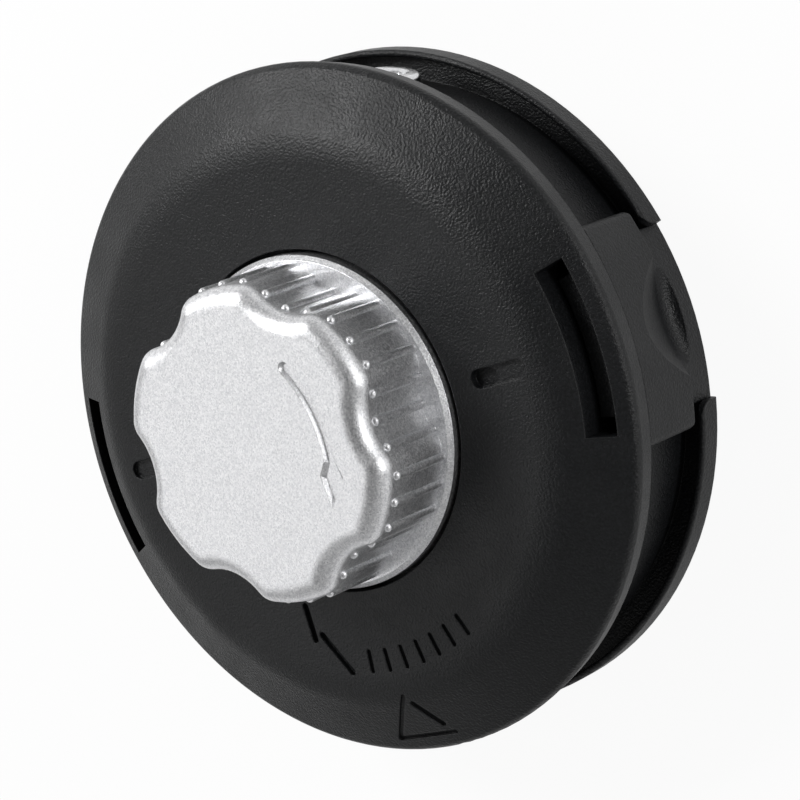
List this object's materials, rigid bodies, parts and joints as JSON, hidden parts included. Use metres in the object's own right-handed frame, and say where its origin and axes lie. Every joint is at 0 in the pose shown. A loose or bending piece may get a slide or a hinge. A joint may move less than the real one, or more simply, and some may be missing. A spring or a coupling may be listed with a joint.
{
  "type": "bump feed trimmer head",
  "caption": "Round black trimmer head with a latched front cover, line outlets and a fluted silver bump knob that turns and springs the inner line spool.",
  "frame": {"origin": "centre of the flat rear face, on the spin axis", "axes": "+Z along the spin axis from the rear face towards the knob; +X through one latch; the line outlets lie 67 and 247 degrees round from +X"},
  "size_m": [0.1196, 0.1196, 0.0502],
  "materials": {
    "case_nylon": "fine-grained black moulded nylon",
    "spool_nylon": "plain black moulded nylon",
    "knob_alloy": "blasted silver die casting",
    "steel": "zinc-plated steel",
    "spring_steel": "drawn spring wire",
    "bronze": "sintered bearing bronze",
    "eyelet_alloy": "turned aluminium"
  },
  "bodies": {
    "case": {"housing": "case_nylon", "cover": "case_nylon", "arbor_nut": "steel", "post_bush": "bronze", "spring_seat": "steel", "spring": "spring_steel", "eyelet_1": "eyelet_alloy", "eyelet_2": "eyelet_alloy"},
    "pusher": {"spring_washer": "steel"},
    "reel": {"spool": "spool_nylon", "bump_knob": "knob_alloy", "knob_screw_1": "steel", "knob_screw_2": "steel", "knob_screw_3": "steel"}
  },
  "joints": [
    {"name": "bump", "type": "slide", "parent": "case", "child": "pusher", "axis": [0, 0, 1], "range_m": [-0.005, 0], "stiffness_N_per_m": 3000, "springref_m": 0.004, "deforming": ["spring"]},
    {"name": "wind", "type": "hinge", "parent": "pusher", "child": "reel", "pos_m": [0, 0, 0.0219], "axis": [0, 0, 1], "continuous": true}
  ]
}
